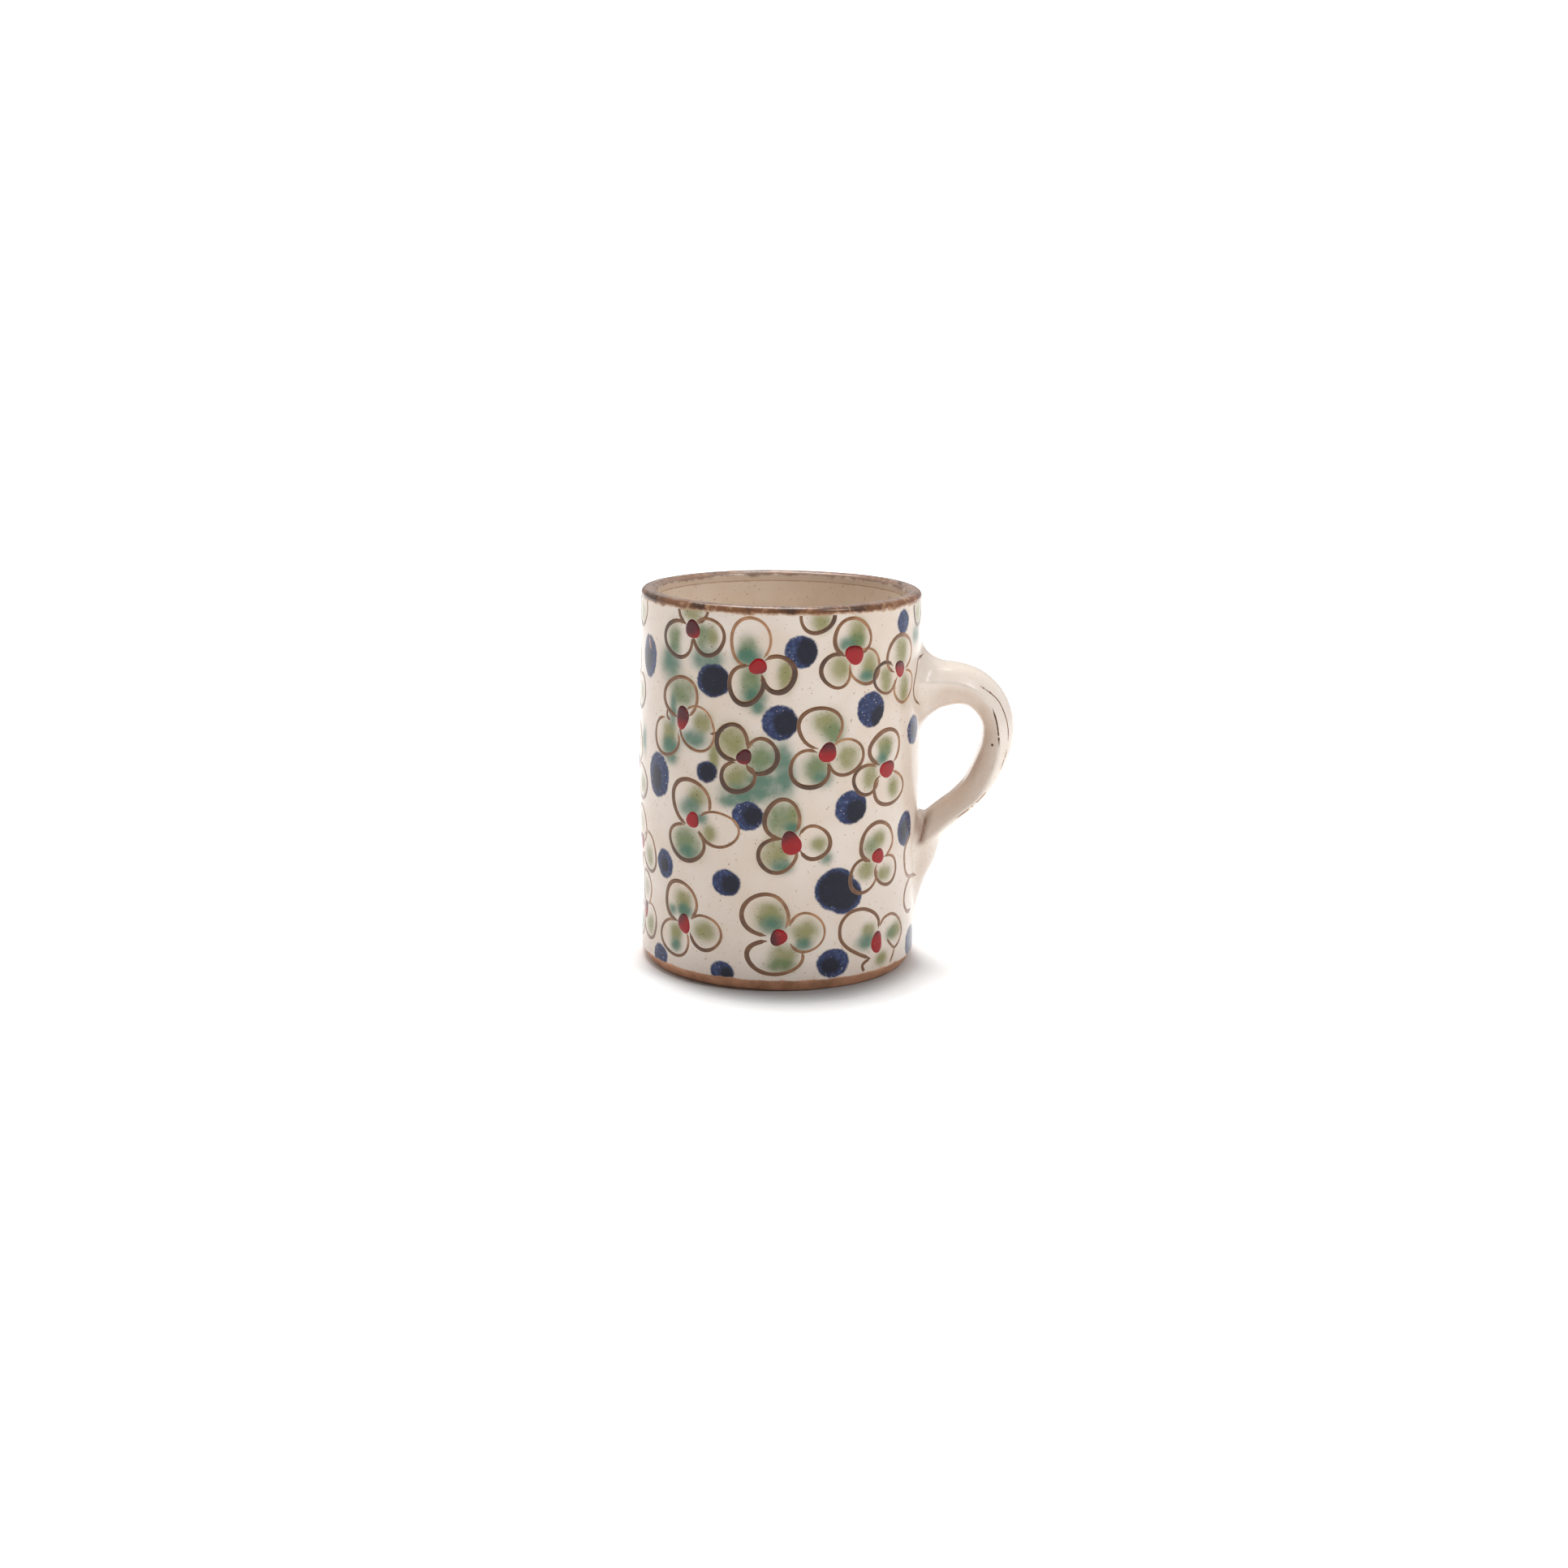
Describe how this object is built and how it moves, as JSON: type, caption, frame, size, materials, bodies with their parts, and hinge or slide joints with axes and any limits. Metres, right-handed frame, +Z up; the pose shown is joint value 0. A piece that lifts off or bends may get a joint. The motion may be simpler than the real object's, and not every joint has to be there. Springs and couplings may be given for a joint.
{
  "type": "stoneware mug",
  "caption": "Hand-made cylindrical stoneware mug with a pulled strap handle, brown rim and foot, and painted flowers and dots.",
  "frame": {"origin": "on the cup's axis, at the face that it rests on", "axes": "+Z up along the cup's axis, +X towards the handle, -Y towards the side seen from the front"},
  "size_m": [0.1077, 0.08, 0.1084],
  "materials": {
    "clay_wall": "matt",
    "clay_floor": "matt",
    "liner_glaze": "gloss",
    "cream_glaze": "gloss",
    "oxide_wash": "satin",
    "handle_glaze": "gloss"
  },
  "bodies": {
    "root": {"cup_wall": "clay_wall", "cup_floor": "clay_floor", "inner_glaze": "liner_glaze", "outer_glaze": "cream_glaze", "rim_band": "oxide_wash", "foot_band": "oxide_wash", "handle_upper_root": "handle_glaze", "handle_strap": "handle_glaze", "handle_lower_root": "handle_glaze"}
  },
  "joints": []
}
